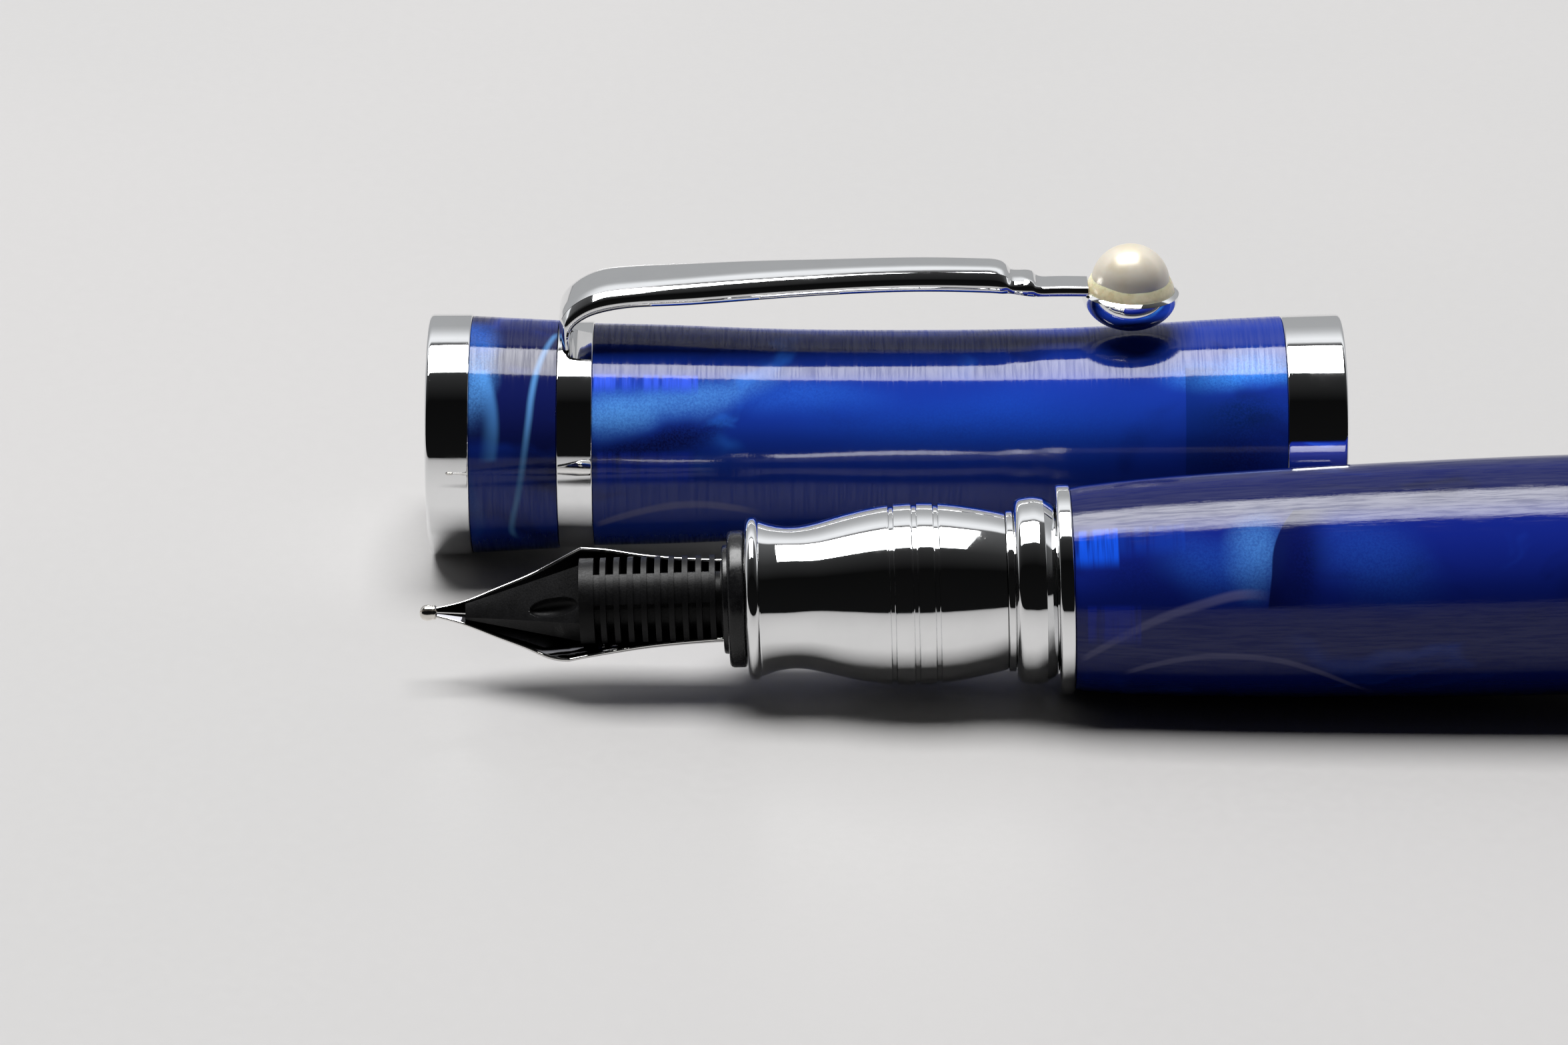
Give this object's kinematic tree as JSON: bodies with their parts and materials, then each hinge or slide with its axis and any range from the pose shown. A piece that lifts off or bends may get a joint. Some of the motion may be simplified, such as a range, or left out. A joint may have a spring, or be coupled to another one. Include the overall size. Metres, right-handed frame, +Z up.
{
  "type": "fountain pen",
  "caption": "Fountain pen lying uncapped beside its cap: blue acrylic shells, chrome grip and rings, finned feed and nib, converter inside, sprung clip tipped with a pearl.",
  "frame": {"origin": "on the table's surface, under the middle of the pen and its cap", "axes": "+X along the cap and, but for 1.85 degrees of pitch, along the pen, from nib to tail; +Y from the pen towards the cap; +Z up"},
  "size_m": [0.1206, 0.0366, 0.0206],
  "materials": {
    "blue_acrylic": "polished translucent pearl acrylic",
    "chrome_plate": "bright plated",
    "nib_steel": "polished steel",
    "feed_plastic": "moulded black, slightly rough",
    "housing_plastic": "moulded black, satin",
    "insert_brass": "turned",
    "seal_rubber": "soft",
    "clear_plastic": "clear polystyrene",
    "converter_metal": "plated sleeve",
    "rod_plastic": "moulded",
    "bed_cement": "cream cement",
    "pearl_shell": "lustrous pearl"
  },
  "bodies": {
    "barrel": {"barrel_shell": "blue_acrylic", "barrel_coupler": "chrome_plate", "tail_bush": "insert_brass", "tail_finial": "chrome_plate"},
    "section": {"grip_section": "chrome_plate", "bead_ring": "chrome_plate", "section_seal": "seal_rubber"},
    "nib_housing": {"nib_housing": "housing_plastic"},
    "nib": {"nib_blade": "nib_steel", "nib_tipping": "nib_steel", "nib_feed": "feed_plastic"},
    "converter": {"converter_tube": "clear_plastic", "converter_collar": "converter_metal", "converter_guide": "rod_plastic"},
    "knob": {"converter_knob": "housing_plastic"},
    "piston": {"piston_rod": "rod_plastic", "piston_seal": "seal_rubber"},
    "cap": {"cap_finial": "chrome_plate", "cap_top_shell": "blue_acrylic", "clip_ring": "chrome_plate", "cap_top_insert": "insert_brass", "cap_shell": "blue_acrylic", "cap_lip_insert": "insert_brass", "cap_lip_ring": "chrome_plate", "cap_liner": "housing_plastic"},
    "clip": {"clip_arm": "chrome_plate", "pearl_cup": "chrome_plate", "pearl_bed": "bed_cement", "pearl": "pearl_shell"}
  },
  "joints": [
    {"name": "cap_slide", "type": "slide", "parent": "barrel", "child": "cap", "axis": [1, 0, 0], "range_m": [-0.065, 0.03]},
    {"name": "clip_spring", "type": "hinge", "parent": "cap", "child": "clip", "pos_m": [-0.05107, 0.01059, 0.014], "axis": [0, -1, 0], "range_deg": [0, 4], "stiffness_Nm_per_rad": 4},
    {"name": "section_draw", "type": "slide", "parent": "barrel", "child": "section", "axis": [-0.9995, 0, -0.0323], "range_m": [0, 0.085]},
    {"name": "nib_unit_draw", "type": "slide", "parent": "section", "child": "nib_housing", "axis": [-0.9995, 0, -0.0323], "range_m": [0, 0.024]},
    {"name": "nib_pull", "type": "slide", "parent": "nib_housing", "child": "nib", "axis": [-0.9995, 0, -0.0323], "range_m": [0, 0.014]},
    {"name": "converter_pull", "type": "slide", "parent": "section", "child": "converter", "axis": [0.9995, 0, 0.0323], "range_m": [0, 0.006]},
    {"name": "knob_turn", "type": "hinge", "parent": "converter", "child": "knob", "pos_m": [0.03028, -0.01101, 0.00818], "axis": [0.9995, 0, 0.0323], "range_deg": [0, 2665]},
    {"name": "piston_travel", "type": "slide", "parent": "converter", "child": "piston", "axis": [0.9995, 0, 0.0323], "range_m": [0, 0.0148]}
  ],
  "couplings": [
    {"joint": "knob_turn", "follows": "piston_travel", "rad_per_m": 3141.6}
  ]
}
